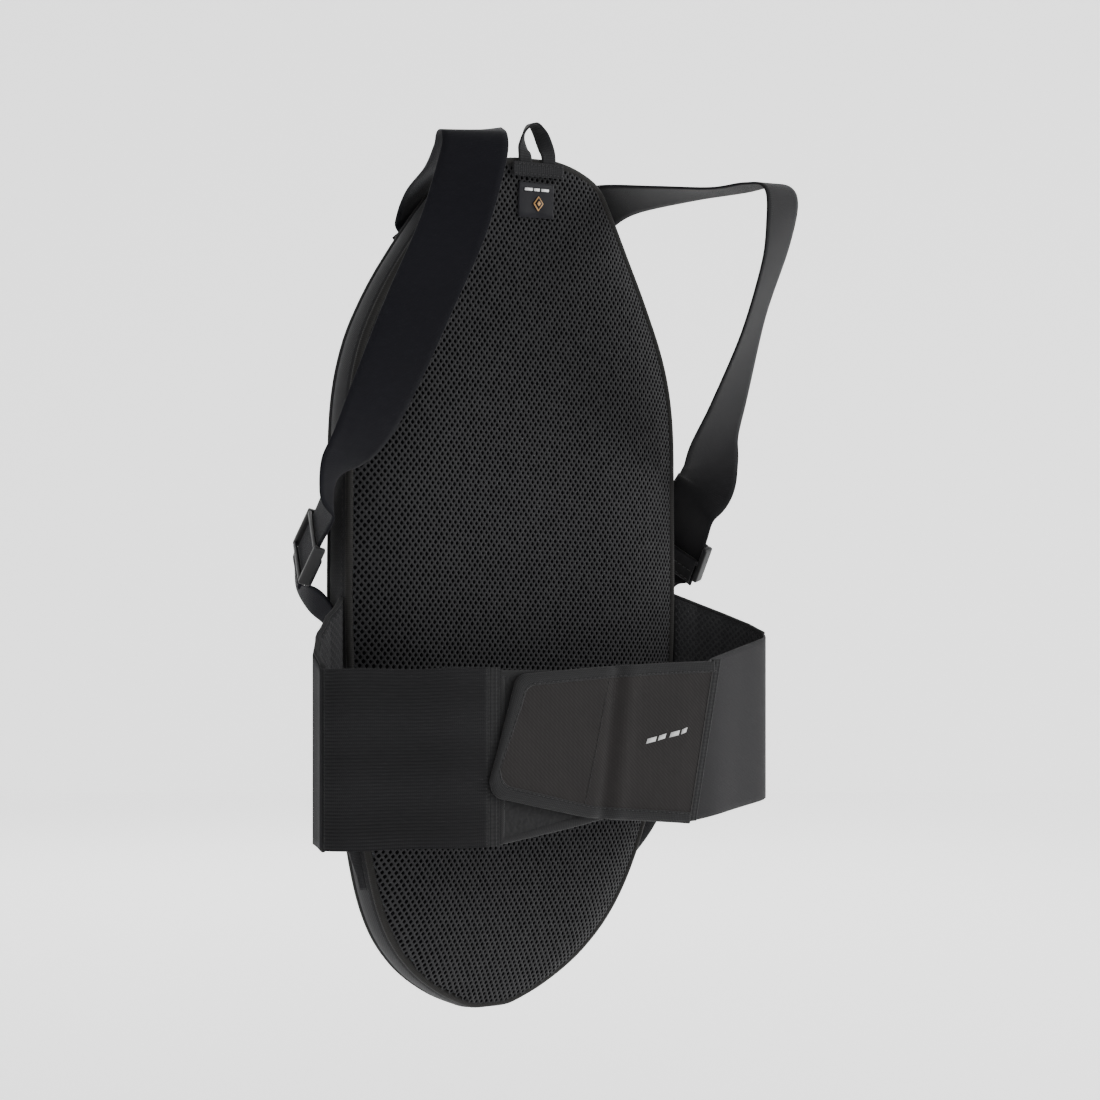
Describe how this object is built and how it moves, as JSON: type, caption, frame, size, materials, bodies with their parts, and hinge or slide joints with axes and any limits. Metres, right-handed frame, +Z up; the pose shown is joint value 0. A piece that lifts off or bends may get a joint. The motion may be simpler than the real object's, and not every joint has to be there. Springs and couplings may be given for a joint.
{
  "type": "back protector",
  "caption": "Soft padded back panel with two elastic shoulder straps, a waist belt that closes with a hook and loop flap, strap slides and a hanging loop.",
  "frame": {"origin": "point on the centre line where the inside of the hanging loop rests on a hook", "axes": "+Z up along the wearer's spine, +X to the right as seen from the wearer's side, -Y towards the wearer, +Y out of the back"},
  "size_m": [0.3388, 0.1873, 0.5637],
  "materials": {
    "air_mesh": "open knit spacer mesh, matt",
    "comfort_foam": "soft open cell foam",
    "impact_foam": "dense slow foam",
    "load_sheet": "semi rigid moulded sheet",
    "cover_cloth": "woven, matt",
    "band_twill": "fine twill, matt",
    "binding": "folded binding tape",
    "webbing": "narrow woven webbing",
    "label_satin": "woven satin label",
    "strap_elastic": "soft elastic strap",
    "wing_mesh": "quilted spacer mesh",
    "ribbed_elastic": "ribbed elastic",
    "seam_tape": "ribbed seam tape",
    "loop_pile": "loop pile",
    "smooth_elastic": "smooth elastic",
    "flap_cloth": "coated woven cloth",
    "hook_pile": "hook pile",
    "print": "plain printed bars",
    "black_plastic": "moulded, satin gloss"
  },
  "bodies": {
    "panel": {"mesh_liner": "air_mesh", "comfort_foam": "comfort_foam", "impact_foam": "impact_foam", "load_sheet": "load_sheet", "outer_cover": "cover_cloth", "side_band": "band_twill", "front_binding": "binding", "rear_binding": "binding", "hang_loop": "webbing", "loop_patch": "webbing", "size_label": "label_satin", "left_shoulder_strap": "strap_elastic", "right_shoulder_strap": "strap_elastic", "left_strap_patch": "webbing", "right_strap_patch": "webbing", "left_anchor_webbing": "webbing", "right_anchor_webbing": "webbing", "left_gusset": "cover_cloth", "right_gusset": "cover_cloth"},
    "left_belt": {"left_wing": "wing_mesh", "left_wing_binding": "binding", "left_elastic": "ribbed_elastic", "left_seam_tape": "seam_tape", "loop_panel": "loop_pile", "loop_panel_binding": "binding"},
    "right_belt": {"right_wing": "wing_mesh", "right_wing_binding": "binding", "right_elastic": "smooth_elastic", "right_seam_tape": "seam_tape"},
    "closure_flap": {"flap_panel": "flap_cloth", "flap_binding": "binding", "hook_patch": "hook_pile", "flap_mark": "print"},
    "left_buckle": {"left_slide": "black_plastic", "left_slide_tail": "strap_elastic"},
    "right_buckle": {"right_slide": "black_plastic", "right_slide_tail": "strap_elastic"}
  },
  "joints": [
    {"name": "right_belt_swing", "type": "hinge", "parent": "panel", "child": "right_belt", "pos_m": [0.127, 0.0206, -0.36], "axis": [0, 0, 1], "range_deg": [0, 50]},
    {"name": "left_belt_swing", "type": "hinge", "parent": "panel", "child": "left_belt", "pos_m": [-0.127, 0.0206, -0.36], "axis": [0, 0, 1], "range_deg": [-22.5, 0]},
    {"name": "flap_peel", "type": "hinge", "parent": "right_belt", "child": "closure_flap", "pos_m": [0.0921, -0.0667, -0.338], "axis": [0.1943, 0, 0.981], "range_deg": [0, 140]},
    {"name": "left_buckle_slide", "type": "slide", "parent": "panel", "child": "left_buckle", "axis": [0.0939, -0.5891, 0.8026], "range_m": [-0.002, 0.009]},
    {"name": "right_buckle_slide", "type": "slide", "parent": "panel", "child": "right_buckle", "axis": [-0.0939, -0.5891, 0.8026], "range_m": [-0.002, 0.009]}
  ],
  "couplings": [
    {"joint": "left_belt_swing", "follows": "right_belt_swing", "ratio": -0.45}
  ]
}
